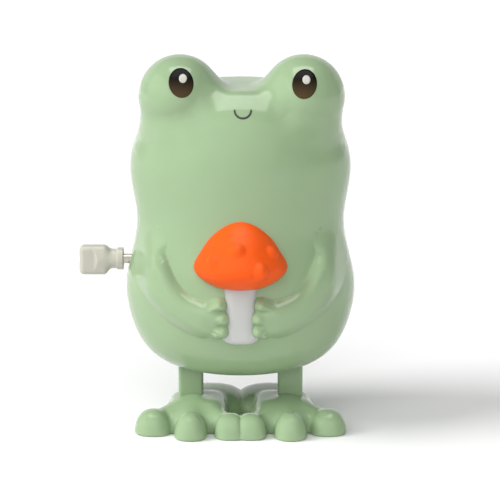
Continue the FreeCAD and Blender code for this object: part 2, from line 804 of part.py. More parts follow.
def crank(side, sign):
    """Disc pressed on the end of the crank shaft, with a pin that stands off its centre."""
    disc_near = "%d * dims.crank_disc_x" % sign
    disc_far = "%d * (dims.crank_disc_x + dims.crank_disc_width)" % sign
    pin_far = "%d * dims.crank_pin_end" % sign
    low, high = sorted((disc_near, disc_far), key=value)
    disc = rod_x(side + "_crank_disc", "dims.crank_disc_radius", low, high, z="dims.crank_z")
    hole = rod_x(side + "_crank_hole", "dims.arbor_radius", "%s - 1" % low, "%s + 1" % high,
                 z="dims.crank_z")
    low, high = sorted((disc_far, pin_far), key=value)
    pin = rod_x(side + "_crank_pin", "dims.crank_pin_radius", low, high,
                z="dims.crank_z + dims.crank_throw")
    return fuse(side + "_crank", cut(side + "_crank_ring", disc, hole), pin)


def leg(side, sign):
    """Bar that stands in the foot, hung on the pivot, with a window round the crank pin."""
    def span(near, far):
        return sorted(("%d * %s" % (sign, near), "%d * %s" % (sign, far)), key=value)

    low, high = span("dims.leg_inner", "dims.leg_outer")
    bar = block(side + "_leg_bar", (low, "-dims.leg_half_depth", "dims.leg_bottom"),
                (high, "dims.leg_half_depth", "dims.leg_shoulder"))
    head_low, head_high = span("dims.head_inner", "dims.head_outer")
    head = rod_x(side + "_leg_head", "dims.head_radius", head_low, head_high, z="dims.crank_z")
    window = rod_x(side + "_leg_window", "dims.window_radius", low, high, z="dims.crank_z")
    bore = rod_x(side + "_leg_bore", "dims.pivot_radius + dims.running_play",
                 "%s - 1" % low, "%s + 1" % high, z="dims.pivot_z")
    return cut(side + "_leg", fuse(side + "_leg_blank", bar, head), window, bore)


def half_ellipsoid(label, wide, deep, high, x, y, turn=Rotation()):
    """Upper half of an ellipsoid, sunk a little into the floor so that one cut makes the sole."""
    item = ellipsoid(label, wide, deep, high, x, y, "-dims.sole_sink", turn)
    item.Angle1 = 0
    return item


def feet():
    """Both feet in one moulding: three toes, an instep and a heel a side, and a web between."""
    lumps = []
    for side, sign in SIDES:
        for name, ball_x, ball_y, half_width in TOES:
            lumps.append(half_ellipsoid(
                "%s_%s_toe" % (side, name), str(half_width), "dims.toe_deep", "dims.toe_high",
                "%d * %.1f" % (sign, ball_x), "%.1f" % ball_y))
            aim = Vector(sign * (ball_x - value("dims.foot_x")), ball_y, 0)
            lumps.append(half_ellipsoid(
                "%s_%s_neck" % (side, name), "dims.toe_neck_wide",
                "%.2f + dims.toe_neck_overlap" % (aim.Length / 2), "dims.toe_neck_high",
                "%d * (dims.foot_x + %.1f) / 2" % (sign, ball_x), "%.2f" % (ball_y / 2),
                Rotation(Vector(0, 0, 1), math.degrees(math.atan2(aim.y, aim.x)) - 90)))
        lumps.append(half_ellipsoid(side + "_instep", "dims.instep_wide", "dims.instep_deep",
                                    "dims.instep_high", "%d * dims.foot_x" % sign, "0"))
        lumps.append(half_ellipsoid(side + "_heel", "dims.heel_wide", "dims.heel_deep",
                                    "dims.heel_high", "%d * dims.heel_x" % sign, "dims.heel_y"))
    lumps.append(block("web", ("-dims.web_half_width", "-dims.web_half_length", "-dims.sole_sink"),
                       ("dims.web_half_width", "dims.web_half_length", "dims.web_high")))
    sockets = []
    for side, sign in SIDES:
        low, high = sorted(("%d * dims.leg_inner" % sign, "%d * dims.leg_outer" % sign), key=value)
        sockets.append(block(side + "_leg_socket", (low, "-dims.leg_half_depth", "dims.leg_bottom"),
                             (high, "dims.leg_half_depth", "dims.slot_top")))
    below_floor = block("below_floor", (str(-FAR), str(-FAR), "-1"), (str(FAR), str(FAR), "0"))
    return cut("feet", fuse("feet_blank", *lumps), below_floor, *sockets)


def build():
    """Make every sub-part and return them."""
    behind, front, back = body_shells()
    parts = [front, back]
    parts.extend(mushroom(behind))
    parts.extend(gearbox())
    parts.extend(gear_train())
    parts.extend(ratchet_and_click())
    parts.append(mainspring())
    parts.extend(winding_key())
    for side, sign in SIDES:
        parts.append(crank(side, sign))
        parts.append(leg(side, sign))
    parts.append(feet())
    return parts


def check(parts):
    """Stop if anything failed to compute or any sub-part isn't a sound solid."""
    for item in doc.Objects:
        if "Invalid" in item.State or "Error" in item.State:
            raise RuntimeError("%s is %s" % (item.Label, item.State))
    for part in parts:
        if part.Shape.isNull() or not part.Shape.isValid() or not part.Shape.Solids:
            raise RuntimeError("%s has no sound shape" % part.Label)


def export(parts):
    os.makedirs("parts", exist_ok=True)
    for part in parts:
        part.Shape.exportStep("parts/%s.step" % part.Label)
        box = part.Shape.BoundBox
        print("%-20s %8.1f mm3  solids %d  x %.1f..%.1f  y %.1f..%.1f  z %.1f..%.1f" % (
            part.Label, part.Shape.Volume, len(part.Shape.Solids),
            box.XMin, box.XMax, box.YMin, box.YMax, box.ZMin, box.ZMax))


parts = build()
doc.recompute()
check(parts)
export(parts)
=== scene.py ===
"""Looks of the wind-up jumping frog: moulded shells, mushroom, feet, key and clockwork finishes.

The moulded pieces are distance fields, in millimetres in the CAD's frame, meshed here. The frog
faces -Y and stands on z = 0; the winding key is on the -X side.
"""

import json
import math

import bmesh
import bpy
import numpy as np
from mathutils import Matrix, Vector


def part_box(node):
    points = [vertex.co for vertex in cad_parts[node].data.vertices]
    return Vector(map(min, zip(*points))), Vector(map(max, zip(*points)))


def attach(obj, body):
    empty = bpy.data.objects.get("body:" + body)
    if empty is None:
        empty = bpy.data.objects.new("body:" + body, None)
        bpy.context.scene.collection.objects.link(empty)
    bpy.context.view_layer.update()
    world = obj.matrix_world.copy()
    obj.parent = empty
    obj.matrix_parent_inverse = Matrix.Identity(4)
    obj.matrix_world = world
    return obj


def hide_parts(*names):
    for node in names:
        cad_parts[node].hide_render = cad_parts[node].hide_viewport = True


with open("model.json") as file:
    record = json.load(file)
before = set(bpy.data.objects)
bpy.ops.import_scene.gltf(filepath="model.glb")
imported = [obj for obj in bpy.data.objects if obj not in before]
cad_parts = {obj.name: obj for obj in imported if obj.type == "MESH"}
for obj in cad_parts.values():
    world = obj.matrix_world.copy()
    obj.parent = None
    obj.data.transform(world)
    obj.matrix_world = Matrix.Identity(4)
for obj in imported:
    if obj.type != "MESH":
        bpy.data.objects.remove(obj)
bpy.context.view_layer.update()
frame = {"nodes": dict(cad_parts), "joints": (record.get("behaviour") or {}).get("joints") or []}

MM = 0.001


# Places and sizes that come from the frame, in millimetres

def node_box(*nodes):
    """Lowest and highest corner of some CAD nodes together."""
    corners = [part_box(node) for node in nodes]
    low = np.min([np.array(box[0]) for box in corners], axis=0) / MM
    high = np.max([np.array(box[1]) for box in corners], axis=0) / MM
    return low, high


shell_low, _ = node_box("front_shell", "back_shell")
cap_low, _ = node_box("mushroom_cap")
leg_low, leg_high = node_box("right_leg")
arbor_low, arbor_high = node_box("winding_shaft")
joints = {joint["name"]: np.array(joint["pos_m"]) / MM for joint in frame["joints"]}

BASE_Z = shell_low[2]
CAP_FRONT_Y = cap_low[1]
KEY_Z = joints["great_wheel_spin"][2]
PIVOT_Z = joints["feet_swing"][2]
CRANK_Z = joints["crank_spin"][2]
LEG_X = (leg_low[0] + leg_high[0]) / 2
LEG_HALF_WIDTH = (leg_high[0] - leg_low[0]) / 2
ARBOR_RADIUS = (arbor_high[2] - arbor_low[2]) / 2


# Distance fields: each takes points of shape (..., 3) and gives signed distances in millimetres

# Stands in for zero as a divisor.
TINY = 1e-9
# Keeps a lump's field finite at its middle.
LEAST_SHARE = 0.05


def smooth_step(share):
    """Share from 0 to 1 that starts and ends gently."""
    share = np.clip(share, 0, 1)
    return share * share * (3 - 2 * share)


def smooth_union(a, b, radius):
    """Union of two fields with a fillet of about the radius."""
    blend = np.clip(0.5 + 0.5 * (b - a) / radius, 0, 1)
    return b * (1 - blend) + a * blend - radius * blend * (1 - blend)


def smooth_cut(a, b, radius):
    """Field a without field b, with a rounded edge."""
    return -smooth_union(-a, b, radius)


def sphere(p, centre, radius):
    """Ball round a centre."""
    return np.linalg.norm(p - np.array(centre), axis=-1) - radius


def ellipsoid(p, centre, radii):
    """Ellipsoid with its radii along the axes; distances are true only near its surface."""
    q = p - np.array(centre)
    near = np.linalg.norm(q / np.array(radii), axis=-1)
    far = np.linalg.norm(q / np.array(radii) ** 2, axis=-1)
    return near * (near - 1) / np.maximum(far, TINY)


def round_cone(p, start, end, start_radius, end_radius):
    """Capsule whose radius changes evenly from one end to the other."""
    start = np.array(start)
    run = np.array(end) - start
    share = np.clip((p - start) @ run / (run @ run), 0, 1)
    nearest = start + share[..., None] * run
    radius = start_radius + (end_radius - start_radius) * share
    return np.linalg.norm(p - nearest, axis=-1) - radius


def box_field(p, centre, half, rounding):
    """Box from its middle and half size, with rounded edges."""
    q = np.abs(p - np.array(centre)) - (np.array(half) - rounding)
    outside = np.linalg.norm(np.maximum(q, 0), axis=-1)
    return outside + np.minimum(q.max(axis=-1), 0) - rounding


def curve_through(knots, values):
    """Natural cubic spline through some points, as a function of position along the knots."""
    x = np.array(knots, float)
    y = np.array(values, float)
    gaps = np.diff(x)
    slopes = np.diff(y) / gaps
    count = len(x)
    system = np.eye(count)
    right = np.zeros(count)
    for i in range(1, count - 1):
        system[i, i - 1:i + 2] = gaps[i - 1], 2 * (gaps[i - 1] + gaps[i]), gaps[i]
        right[i] = 6 * (slopes[i] - slopes[i - 1])
    bends = np.linalg.solve(system, right)

    def evaluate(at):
        at = np.clip(at, x[0], x[-1])
        i = np.clip(np.searchsorted(x, at) - 1, 0, count - 2)
        t = at - x[i]
        gap = gaps[i]
        slope = slopes[i] - gap * (2 * bends[i] + bends[i + 1]) / 6
        return y[i] + t * (slope + t * (bends[i] / 2 + t * (bends[i + 1] - bends[i]) / (6 * gap)))

    return evaluate


# Meshing of a field

SAMPLES_AT_ONCE = 400000
# A coarse block is this many cells long, and cells within this many blocks of the surface are
# worked out one by one.
BLOCK = 4
BLOCK_REACH = 2.2
# Rounds in which vertices move onto the surface, the longest move in cells, and the least
# squared slope that a move is worked out with.
SETTLING_ROUNDS = 3
LONGEST_MOVE = 0.5
LEAST_SLOPE = 0.05
GRADIENT_STEP = 0.02


def sample(field, points):
    """Field values at many points, worked out a part at a time."""
    flat = points.reshape(-1, 3)
    parts = [field(flat[i:i + SAMPLES_AT_ONCE]) for i in range(0, len(flat), SAMPLES_AT_ONCE)]
    return np.concatenate(parts).reshape(points.shape[:-1])


def gradient(field, points):
    """Slope of a field at some points, along each axis."""
    slopes = np.empty_like(points)
    for axis in range(3):
        offset = np.zeros(3)
        offset[axis] = GRADIENT_STEP
        slopes[:, axis] = sample(field, points + offset) - sample(field, points - offset)
    return slopes / (2 * GRADIENT_STEP)


def grid_values(field, low, counts, cell):
    """Field on a grid. Blocks of cells that are clearly off the surface keep a coarse value."""
    coarse_counts = [math.ceil(n / BLOCK) + 1 for n in counts]
    axes = [low[a] + cell * BLOCK * (np.arange(coarse_counts[a]) + 0.5) for a in range(3)]
    centres = np.stack(np.meshgrid(*axes, indexing="ij"), axis=-1)
    coarse = sample(field, centres)
    values = coarse.repeat(BLOCK, 0).repeat(BLOCK, 1).repeat(BLOCK, 2)
    values = values[:counts[0], :counts[1], :counts[2]].copy()
    near = np.abs(values) < BLOCK_REACH * BLOCK * cell
    index = np.argwhere(near)
    values[near] = sample(field, low + index * cell)
    return values


def surface_nets(values, low, cell):
    """Vertices and quads of the zero surface, one vertex in each cell that it crosses."""
    inside = values < 0
    corner_sum = np.zeros([n - 1 for n in values.shape], int)
    for dx in (0, 1):
        for dy in (0, 1):
            for dz in (0, 1):
                corner_sum += inside[dx:dx + corner_sum.shape[0], dy:dy + corner_sum.shape[1],
                                     dz:dz + corner_sum.shape[2]]
    crossed = (corner_sum > 0) & (corner_sum < 8)
    cells = np.argwhere(crossed)
    number = np.full(crossed.shape, -1)
    number[crossed] = np.arange(len(cells))

    total = np.zeros((len(cells), 3))
    hits = np.zeros(len(cells))
    for axis in range(3):
        others = [a for a in range(3) if a != axis]
        for du in (0, 1):
            for dv in (0, 1):
                start = cells.copy()
                start[:, others[0]] += du
                start[:, others[1]] += dv
                end = start.copy()
                end[:, axis] += 1
                a = values[tuple(start.T)]
                b = values[tuple(end.T)]
                crosses = (a < 0) != (b < 0)
                share = np.where(crosses, a / np.where(crosses, a - b, 1), 0)
                point = start.astype(float)
                point[:, axis] += share
                total[crosses] += point[crosses]
                hits[crosses] += 1
    vertices = low + cell * total / hits[:, None]

    quads = []
    for axis in range(3):
        u, v = (axis + 1) % 3, (axis + 2) % 3
        shape = list(values.shape)
        first = [slice(None)] * 3
        second = [slice(None)] * 3
        first[axis] = slice(0, shape[axis] - 1)
        second[axis] = slice(1, shape[axis])
        change = inside[tuple(first)] != inside[tuple(second)]
        edges = np.argwhere(change)
        edges = edges[(edges[:, u] > 0) & (edges[:, v] > 0)
                      & (edges[:, u] < shape[u] - 1) & (edges[:, v] < shape[v] - 1)]
        ring = []
        for du, dv in ((-1, -1), (0, -1), (0, 0), (-1, 0)):
            around = edges.copy()
            around[:, u] += du
            around[:, v] += dv
            ring.append(number[tuple(around.T)])
        ring = np.stack(ring, axis=1)
        flip = ~inside[tuple(edges.T)]
        ring[flip] = ring[flip][:, ::-1]
        quads.append(ring)
    return vertices, np.concatenate(quads)


def add_object(name, data):
    """Put an object with some data into the scene."""
    item = bpy.data.objects.new(name, data)
    bpy.context.scene.collection.objects.link(item)
    return item


def add_mesh(name, vertices, faces, material):
    """Smooth object of one material, from vertices in millimetres."""
    mesh = bpy.data.meshes.new(name)
    mesh.from_pydata((vertices * MM).tolist(), [], faces)
    mesh.shade_smooth()
    mesh.materials.append(material)
    return add_object(name, mesh)


def field_mesh(name, field, low, high, cell, material):
    """Object whose mesh is the zero surface of a field."""
    low = np.array(low, float) - 2 * cell
    counts = [int(math.ceil(n)) + 3 for n in (np.array(high) - low) / cell]
    values = grid_values(field, low, counts, cell)
    vertices, quads = surface_nets(values, low, cell)
    for _ in range(SETTLING_ROUNDS):
        slope = gradient(field, vertices)
        size = np.maximum((slope ** 2).sum(axis=1), LEAST_SLOPE)
        move = slope * (sample(field, vertices) / size)[:, None]
        reach = np.linalg.norm(move, axis=1, keepdims=True)
        vertices = vertices - move * np.minimum(1, LONGEST_MOVE * cell / np.maximum(reach, TINY))
    return add_mesh(name, vertices, quads.tolist(), material)


def set_normals(piece, field, least_match):
    """Give a mesh the field's normals, except where they match the face's less than a cosine."""
    mesh = piece.data
    points = np.empty(len(mesh.vertices) * 3)
    mesh.vertices.foreach_get("co", points)
    slope = gradient(field, points.reshape(-1, 3) / MM)
    slope /= np.maximum(np.linalg.norm(slope, axis=1, keepdims=True), TINY)
    loop_vertex = np.empty(len(mesh.loops), int)
    mesh.loops.foreach_get("vertex_index", loop_vertex)
    normals = slope[loop_vertex]
    face_normal = np.empty(len(mesh.polygons) * 3)
    mesh.polygons.foreach_get("normal", face_normal)
    face_normal = face_normal.reshape(-1, 3)
    sizes = np.empty(len(mesh.polygons), int)
    mesh.polygons.foreach_get("loop_total", sizes)
    loop_face = np.repeat(np.arange(len(sizes)), sizes)
    away = (normals * face_normal[loop_face]).sum(axis=1) < least_match
    normals[away] = face_normal[loop_face][away]
    mesh.normals_split_custom_set(normals.tolist())


def front_of(field, x, z, start_y, share, rounds):
    """Points of a field's surface at x and z as seen from the front.

    They start at start_y and move back by a share of the distance left, in each round.
    """
    points = np.stack([x, np.full(x.shape, start_y), z], axis=-1)
    for _ in range(rounds):
        points[..., 1] += share * sample(field, points)
    return points


def place_piece(piece, body, node):
    """Put a piece on the body it rides on, and hide the CAD node that it stands for."""
    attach(piece, body)
    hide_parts(node)


# Materials

def shade(name, colour, roughness, **sockets):
    """Principled material, with what goes straight on its sockets."""
    material = bpy.data.materials.new(name)
    material.use_nodes = True
    principled = material.node_tree.nodes["Principled BSDF"]
    principled.inputs["Base Color"].default_value = (*colour, 1)
    principled.inputs["Roughness"].default_value = roughness
    for socket, number in sockets.items():
        principled.inputs[socket.replace("_", " ")].default_value = number
    return material


# Scales of the uneven gloss and of the handling marks, against those of tint and relief, and
# what the marks add to the roughness.
HAZE_SCALE = 2.6
MARK_SCALE = 0.2
MARK_ROUGHNESS = (-0.01, 0.015)
RELIEF_STRENGTH = 0.5
# The part of a noise's values that is stretched over a range.
NOISE_MIDDLE = (0.3, 0.7)


def noise(material, scale, detail=3.0, stretch=(1, 1, 1)):
    """Noise over the piece, whose scale is in waves a metre."""
    nodes = material.node_tree.nodes
    links = material.node_tree.links
    place = nodes.new("ShaderNodeTexCoord")
    mapping = nodes.new("ShaderNodeMapping")
    mapping.inputs["Scale"].default_value = stretch
    texture = nodes.new("ShaderNodeTexNoise")
    texture.inputs["Scale"].default_value = scale
    texture.inputs["Detail"].default_value = detail
    links.new(place.outputs["Object"], mapping.inputs["Vector"])
    links.new(mapping.outputs["Vector"], texture.inputs["Vector"])
    return texture.outputs["Fac"]


def spread(material, source, low, high):
    """Map the middle of a noise's values onto a range."""
    node = material.node_tree.nodes.new("ShaderNodeMapRange")
    node.inputs["From Min"].default_value = NOISE_MIDDLE[0]
    node.inputs["From Max"].default_value = NOISE_MIDDLE[1]
    node.inputs["To Min"].default_value = low
    node.inputs["To Max"].default_value = high
    material.node_tree.links.new(source, node.inputs["Value"])
    return node.outputs["Result"]


def mixed_colour(material, factor, first, second):
    """Colour that goes from the first to the second as the factor goes from 0 to 1."""
    node = material.node_tree.nodes.new("ShaderNodeMix")
    node.data_type = "RGBA"
    node.inputs["A"].default_value = (*first, 1)
    node.inputs["B"].default_value = (*second, 1)
    material.node_tree.links.new(factor, node.inputs["Factor"])
    return node.outputs["Result"]


def surface_detail(material, colours, roughness, mottle, grain, depth, stretch=(1, 1, 1)):
    """Uneven tint, uneven gloss with fine handling marks, and a fine relief.

    Mottle and grain are in waves a metre, and the relief's depth is in metres.
    """
    nodes = material.node_tree.nodes
    links = material.node_tree.links
    principled = nodes["Principled BSDF"]
    tint = spread(material, noise(material, mottle), 0, 1)
    links.new(mixed_colour(material, tint, *colours), principled.inputs["Base Color"])
    haze = spread(material, noise(material, mottle * HAZE_SCALE, 5), *roughness)
    marks = spread(material, noise(material, grain * MARK_SCALE, 6), *MARK_ROUGHNESS)
    total = nodes.new("ShaderNodeMath")
    links.new(haze, total.inputs[0])
    links.new(marks, total.inputs[1])
    links.new(total.outputs[0], principled.inputs["Roughness"])
    bump = nodes.new("ShaderNodeBump")
    bump.inputs["Strength"].default_value = RELIEF_STRENGTH
    bump.inputs["Distance"].default_value = depth
    links.new(noise(material, grain, 4, stretch), bump.inputs["Height"])
    links.new(bump.outputs["Normal"], principled.inputs["Normal"])
    return material


# How far light goes into the plastics: in metres, and the share of it for red, green and blue.
SCATTER_DEPTH = 1.2 * MM
SCATTER_SHARES = (1.0, 1.0, 0.7)
COAT_ROUGHNESS = 0.08


def plastic(name, light, dark, roughness, scatter, specular=0.5, coat=0.0):
    """Moulded plastic: a little light goes through it, and its gloss is uneven."""
    material = shade(name, light, roughness[0], Subsurface_Weight=scatter,
                     Subsurface_Scale=SCATTER_DEPTH, Subsurface_Radius=SCATTER_SHARES,
                     Specular_IOR_Level=specular, Coat_Weight=coat,
                     Coat_Roughness=COAT_ROUGHNESS)
    return surface_detail(material, (light, dark), roughness, mottle=60.0, grain=1500.0,
                          depth=4e-7)


def metal(name, light, dark, roughness):
    """Drawn metal, with fine lines along X."""
    material = shade(name, light, roughness[0], Metallic=1.0)
    return surface_detail(material, (light, dark), roughness, mottle=500.0, grain=9000.0,
                          depth=1.5e-6, stretch=(0.05, 1, 1))


# Each has its light and dark tint, then its least and most roughness.
green = plastic("sage_plastic", (0.286, 0.400, 0.232), (0.277, 0.388, 0.224), (0.11, 0.15),
                scatter=0.25, specular=0.38, coat=0.10)
orange = plastic("orange_plastic", (0.84, 0.100, 0.005), (0.79, 0.089, 0.004), (0.40, 0.48),
                 scatter=0.15, specular=0.2)
stem_white = plastic("stem_plastic", (0.47, 0.48, 0.465), (0.445, 0.455, 0.44), (0.36, 0.46),
                     scatter=0.15)
ivory = plastic("ivory_plastic", (0.475, 0.46, 0.40), (0.455, 0.44, 0.38), (0.30, 0.38),
                scatter=0.30)
acetal_white = plastic("white_acetal", (0.80, 0.80, 0.78), (0.76, 0.76, 0.74), (0.42, 0.55),
                       scatter=0.1)
acetal_natural = plastic("natural_acetal", (0.82, 0.79, 0.69), (0.77, 0.74, 0.63), (0.38, 0.5),
                         scatter=0.2)
steel = metal("drawn_steel", (0.62, 0.60, 0.55), (0.50, 0.46, 0.38), (0.20, 0.32))
blued = metal("blued_spring_steel", (0.12, 0.14, 0.20), (0.20, 0.17, 0.15), (0.25, 0.38))


# Body

WALL = 1.6
# The trunk: height of its middle, half of its height, and how boxy it is (2 is an ellipsoid).
BODY_MIDDLE = 40.05
BODY_HALF_HEIGHT = 29.75
SQUARENESS = 3.0
# Half width and half depth at some heights.
HALF_WIDTH = curve_through([11, 16.8, 21.7, 28.6, 41.2, 51.1, 60.7, 66.5, 70],
                           [25.8, 24.6, 24.0, 23.3, 20.6, 22.25, 21.9, 20.5, 20.0])
HALF_DEPTH = curve_through([11, 20, 28.6, 41.2, 51.1, 60.7, 66.5, 70],
                           [20.5, 19.8, 19.3, 17.5, 17.7, 18.2, 18.2, 18.0])
# Eye bumps, and how far their pair is off the middle.
BUMP_PLACE = np.array([12.1, -3.8, 66.2])
BUMP_RADII = np.array([8.1, 9.4, 8.15])
HEAD_X = 0.25
# Flat crown between the bumps: its height at y = 0, its rise towards the back and its edge.
CROWN_Z = 68.43
CROWN_SLOPE = 0.0533
CROWN_EDGE = 0.7
# Fillet round an eye bump: its radius at the top, and what is added in the valley between the
# bumps or low down, whichever is more. Low down, a little more is added in front.
FILLET = 1.6
FILLET_BETWEEN = 1.9
FILLET_BELOW = 3.4
FILLET_FRONT = 1.0
# The low part starts at this height, which is less in front, and grows downwards.
FILLET_TOP = 70
FILLET_TOP_FRONT_DROP = 3
FILLET_HEIGHT = 9
# The front starts at this y and grows forwards; the valley grows from the bumps inwards.
FRONT_Y = -4
FRONT_RUN = 9
VALLEY_RUN = 5


def mirrored(p):
    """Points folded onto the +X side."""
    q = p.copy()
    q[..., 0] = np.abs(q[..., 0])
    return q


def trunk(p):
    """The rounded block of the body and head, with a waist between belly and cheeks."""
    z = p[..., 2]
    rise = np.abs(z - BODY_MIDDLE) / BODY_HALF_HEIGHT
    across = np.hypot(p[..., 0] / HALF_WIDTH(z), p[..., 1] / HALF_DEPTH(z))
    share = (across ** SQUARENESS + rise ** SQUARENESS) ** (1 / SQUARENESS)
    share = np.maximum(share, LEAST_SHARE)
    from_middle = np.linalg.norm(p - np.array([0, 0, BODY_MIDDLE]), axis=-1)
    return from_middle * (1 - 1 / share)


def core(p):
    """Body with its eye bumps and the flat crown between them, without arms."""
    crown = p[..., 2] - CROWN_Z - CROWN_SLOPE * p[..., 1]
    flat_topped = -smooth_union(-trunk(p), -crown, CROWN_EDGE)
    bump = ellipsoid(mirrored(p - np.array([HEAD_X, 0, 0])), BUMP_PLACE, BUMP_RADII)
    ahead = smooth_step((FRONT_Y - p[..., 1]) / FRONT_RUN)
    below = smooth_step((FILLET_TOP - FILLET_TOP_FRONT_DROP * ahead - p[..., 2]) / FILLET_HEIGHT)
    between = smooth_step((BUMP_PLACE[0] - np.abs(p[..., 0])) / VALLEY_RUN)
    fillet = FILLET + np.maximum(below * (FILLET_BELOW + FILLET_FRONT * ahead),
                                 FILLET_BETWEEN * between)
    return smooth_union(flat_topped, bump, fillet)


# Stem and cap of the mushroom

STEM_Y = -17.3
STEM_HALF_DEPTH = 2.7
# Turns a share of the way out from the stem's axis into millimetres.
STEM_REACH = 3.0
STEM_SQUARENESS = 3
STEM_FOOT_Z = 19.95
STEM_TOP_Z = 33.0
STEM_FOOT_EDGE = 1.2
# Half width of the stem at some heights.
STEM_SIDE = curve_through([19.9, 20.4, 21.3, 22.6, 25.0, 28.0, 31.0, 33.0],
                          [2.9, 3.35, 3.55, 3.1, 3.0, 3.1, 3.3, 3.3])
CAP_MIDDLE = 35.5
# Cap outline as seen from the front: distance from the middle and height.
CAP_OUTLINE = [(0, 44.2), (1.8, 43.85), (3.4, 42.95), (5.2, 41.4), (6.9, 39.3), (8.2, 37.1),
               (9.0, 35.6), (9.15, 34.6), (8.7, 33.4), (7.4, 32.15), (4.7, 30.75), (2.3, 30.0),
               (0, 29.8)]
CAP_ANGLES = [math.atan2(r, z - CAP_MIDDLE) for r, z in CAP_OUTLINE]
CAP_REACH = curve_through(CAP_ANGLES, [math.hypot(r, z - CAP_MIDDLE) for r, z in CAP_OUTLINE])
CAP_RADIUS = max(r for r, z in CAP_OUTLINE)
CAP_CENTRE_Y = -15.0
CAP_BACK_Y = -16.4
# Warts on the cap: x and z of each, radius, depth of the middle, and fillet round them.
CAP_BUMPS = [(-5.35, 36.9), (-0.7, 39.1), (4.1, 35.0), (6.2, 38.2)]
CAP_BUMP_RADIUS = 1.7
CAP_BUMP_DEPTH = 1.05
CAP_BUMP_FILLET = 0.5


def stem(p):
    """Waisted stem of boxy section, without its top end."""
    z = p[..., 2]
    across = (np.abs(p[..., 0] / STEM_SIDE(z)) ** STEM_SQUARENESS
              + np.abs((p[..., 1] - STEM_Y) / STEM_HALF_DEPTH) ** STEM_SQUARENESS)
    side = STEM_REACH * (across ** (1 / STEM_SQUARENESS) - 1)
    return -smooth_union(-side, z - STEM_FOOT_Z, STEM_FOOT_EDGE)


def seated_stem(p):
    """The stem up to where it ends inside the cap."""
    return np.maximum(stem(p), p[..., 2] - STEM_TOP_Z)


def cap_dome(p):
    """The cap's outline turned about its axis, and pressed flatter towards the front."""
    depth = CAP_RADIUS / (CAP_CENTRE_Y - CAP_FRONT_Y)
    q = p - np.array([0, CAP_CENTRE_Y, CAP_MIDDLE])
    away = np.hypot(q[..., 0], q[..., 1] * depth)
    reach = CAP_REACH(np.arctan2(away, q[..., 2]))
    return np.hypot(away, q[..., 2]) - reach


cap_spots = front_of(cap_dome, *np.array(CAP_BUMPS).T, start_y=-40.0, share=0.6, rounds=80)
cap_bump_places = cap_spots - CAP_BUMP_DEPTH * gradient(cap_dome, cap_spots)


def cap(p):
    """The cap with its warts, cut flat at the back."""
    field = cap_dome(p)
    for place in cap_bump_places:
        field = smooth_union(field, sphere(p, place, CAP_BUMP_RADIUS), CAP_BUMP_FILLET)
    return np.maximum(field, p[..., 1] - CAP_BACK_Y)


# Arms: low relief over the belly, from the shoulder round to four fingers on the stem.
# Stations along an arm in the front view: x, z and half width.
ARM = [(17.2, 38.8, 3.0), (17.8, 36.6, 3.2), (17.3, 33.4, 3.75), (15.6, 29.9, 3.8),
       (13.0, 27.1, 3.65), (10.2, 25.4, 3.7), (7.3, 24.5, 3.85)]
ARM_STEPS = 24
ARM_HEIGHT = 2.3
# The relief rises from nothing at the shoulder, over a ramp below it, and fades out towards the
# side of the body, from one share of the half width to another.
SHOULDER_Z = 41.6
SHOULDER_RAMP = 8.0
SIDE_FADE = (0.76, 0.96)
# Fingers: x and z of the knuckle, x and z of the tip's middle, radius.
FINGERS = [(6.8, 26.4, 4.30, 27.6, 1.50), (6.8, 24.9, 3.80, 24.9, 1.55),
           (6.8, 23.2, 3.65, 22.5, 1.35), (6.5, 22.6, 4.90, 21.8, 1.20)]
FINGER_FILLET = 0.6
# Distance from its outline over which the relief rises: at the fingertips and along the arm,
# and the x between which it changes.
TIP_PILLOW = 1.5
ARM_PILLOW = 3.0
PILLOW_X = (4.0, 8.0)
# Height of the relief at the fingertips, as a share of the arm's, and the x of that change.
TIP_SHARE = 0.62
TIP_X = 2.8
TIP_RUN = 5.0
# Softness of the line where the relief meets the belly.
CREASE = 0.15
# The hand closes round the stem: fillet between belly and stem, and slope beyond the outline.
GRIP_FILLET = 2.0
GRIP_SLOPE = 1.5
# Depth inside an arm's outline that points far from it start from.
FAR_OUTSIDE = -9.0
# Arms are worked out in front of this y, below this z and this near the body.
ARMS_Y = -1
ARMS_Z = 45
ARMS_REACH = 6

arm_position = np.arange(len(ARM))
arm_at = [curve_through(arm_position, values) for values in np.array(ARM).T]
arm_stations = np.stack([part(np.linspace(0, len(ARM) - 1, ARM_STEPS)) for part in arm_at], axis=1)


def along(x, z, start, end):
    """Share of the way along a segment of the front view, and distance from it."""
    run = np.array(end) - np.array(start)
    share = np.clip(((x - start[0]) * run[0] + (z - start[1]) * run[1]) / (run @ run), 0, 1)
    return share, np.hypot(x - start[0] - share * run[0], z - start[1] - share * run[1])


def arm_relief(p):
    """Height of an arm over the body, and distance inside its outline in the front view."""
    x = np.abs(p[..., 0])
    z = p[..., 2]
    inside = np.full(x.shape, FAR_OUTSIDE)
    for start, end in zip(arm_stations, arm_stations[1:]):
        share, off = along(x, z, start[:2], end[:2])
        inside = np.maximum(inside, start[2] + share * (end[2] - start[2]) - off)
    for knuckle_x, knuckle_z, tip_x, tip_z, radius in FINGERS:
        share, off = along(x, z, (knuckle_x, knuckle_z), (tip_x, tip_z))
        inside = -smooth_union(-inside, off - radius, FINGER_FILLET)
    pillow = np.interp(x, PILLOW_X, [TIP_PILLOW, ARM_PILLOW])
    share = np.clip((inside + np.hypot(inside, CREASE)) / 2 / pillow, 0, 1)
    fade_start, fade_end = SIDE_FADE
    fade = 1 - smooth_step((x / HALF_WIDTH(z) - fade_start) / (fade_end - fade_start))
    height = ARM_HEIGHT * fade * smooth_step((SHOULDER_Z - z) / SHOULDER_RAMP)
    height *= TIP_SHARE + (1 - TIP_SHARE) * smooth_step((x - TIP_X) / TIP_RUN)
    return height * share * (2 - share), inside


